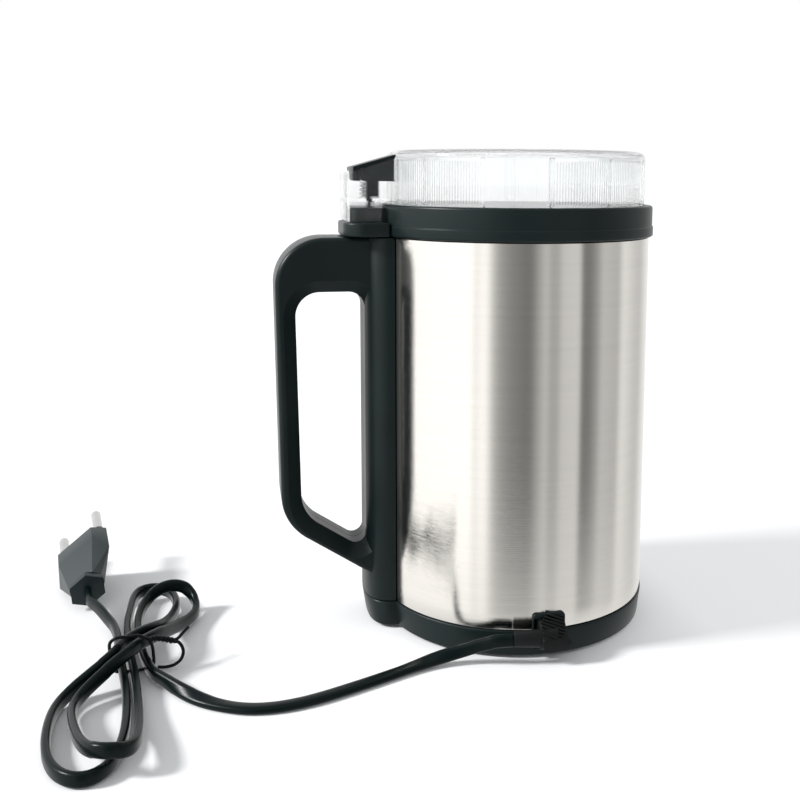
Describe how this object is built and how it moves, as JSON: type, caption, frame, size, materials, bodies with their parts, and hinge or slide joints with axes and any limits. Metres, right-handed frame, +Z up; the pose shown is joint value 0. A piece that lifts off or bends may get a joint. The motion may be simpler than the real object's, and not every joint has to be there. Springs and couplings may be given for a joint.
{
  "type": "electric food grinder",
  "caption": "Jug-shaped electric food grinder with a steel motor sleeve, side handle, bowl and blade under a clear press-button lid, and a flat two-pin cord tied in a bow.",
  "frame": {"origin": "centre of the bounding box of everything but the free cord, on the table", "axes": "+Z up, +X from the motor axis towards the handle, +Y towards the side where the cord leaves"},
  "size_m": [0.239, 0.1806, 0.182],
  "materials": {
    "clear_plastic": "clear moulded plastic, glossy",
    "black_plastic": "satin black moulded plastic",
    "plug_plastic": "soft dark moulded plastic",
    "cord_sheath": "smooth black cable sheath",
    "tie_wire": "plastic-coated tie wire",
    "rubber": "matt moulded rubber",
    "brushed_sleeve": "vertically grained stainless sheet",
    "bowl_steel": "polished stainless steel",
    "spring_steel": "bright zinc-plated steel",
    "core_iron": "stacked steel sheets",
    "copper": "enamelled copper winding",
    "brass": "plain brass",
    "carbon": "pressed carbon",
    "white_plastic": "off-white moulded plastic",
    "wire_sheath": "insulated wire",
    "pin_nickel": "nickel-plated brass"
  },
  "bodies": {
    "main": {"top_ring": "black_plastic", "grinding_bowl": "bowl_steel", "bowl_gasket": "rubber", "bowl_seal": "rubber", "motor_housing": "white_plastic", "lower_bracket": "white_plastic", "stator_core": "core_iron", "field_coil_back": "copper", "field_coil_front": "copper", "upper_bearing": "spring_steel", "lower_bearing": "spring_steel", "steel_sleeve": "brushed_sleeve", "switch_spring": "spring_steel", "microswitch": "black_plastic", "switch_wire": "wire_sheath", "motor_wire": "wire_sheath", "cord_clamp": "white_plastic", "base_ring": "black_plastic", "bottom_cover": "black_plastic", "handle_shell_back": "black_plastic", "handle_shell_front": "black_plastic", "handle_screw_1": "spring_steel", "handle_screw_2": "spring_steel", "column_screw_1": "spring_steel", "column_screw_2": "spring_steel", "bracket_screw_1": "spring_steel", "bracket_screw_2": "spring_steel", "brush_holder_right": "brass", "brush_holder_left": "brass", "brush_right": "carbon", "brush_left": "carbon", "brush_spring_right": "spring_steel", "brush_spring_left": "spring_steel", "rubber_foot_1": "rubber", "rubber_foot_2": "rubber", "rubber_foot_3": "rubber", "rubber_foot_4": "rubber", "cover_screw_1": "spring_steel", "cover_screw_2": "spring_steel", "cover_screw_3": "spring_steel", "cover_screw_4": "spring_steel", "strain_relief": "rubber", "cord_lead": "cord_sheath", "cord_hank": "cord_sheath", "cord_tail": "cord_sheath", "cord_tie": "tie_wire", "plug_body": "plug_plastic", "plug_pin_right": "pin_nickel", "plug_pin_left": "pin_nickel"},
    "lid_group": {"lid": "clear_plastic", "lid_button_spring": "spring_steel"},
    "button_group": {"lid_button": "black_plastic"},
    "pin_group": {"switch_pin": "white_plastic"},
    "rotor": {"motor_shaft": "spring_steel", "armature": "copper", "commutator": "copper", "cooling_fan": "white_plastic", "blade": "bowl_steel", "blade_nut": "brass"}
  },
  "joints": [
    {"name": "lid_lift", "type": "slide", "parent": "main", "child": "lid_group", "axis": [0, 0, 1], "range_m": [0, 0.06]},
    {"name": "button_press", "type": "slide", "parent": "lid_group", "child": "button_group", "axis": [0, 0, -1], "range_m": [0, 0.0025], "stiffness_N_per_m": 600, "deforming": ["lid_button_spring"]},
    {"name": "switch_press", "type": "slide", "parent": "main", "child": "pin_group", "axis": [0, 0, -1], "range_m": [0, 0.0025], "stiffness_N_per_m": 300, "deforming": ["switch_spring"]},
    {"name": "rotor_spin", "type": "hinge", "parent": "main", "child": "rotor", "pos_m": [-0.0199, 0, 0.06], "axis": [0, 0, 1], "continuous": true}
  ],
  "couplings": [
    {"joint": "switch_press", "follows": "button_press", "ratio": 1}
  ]
}
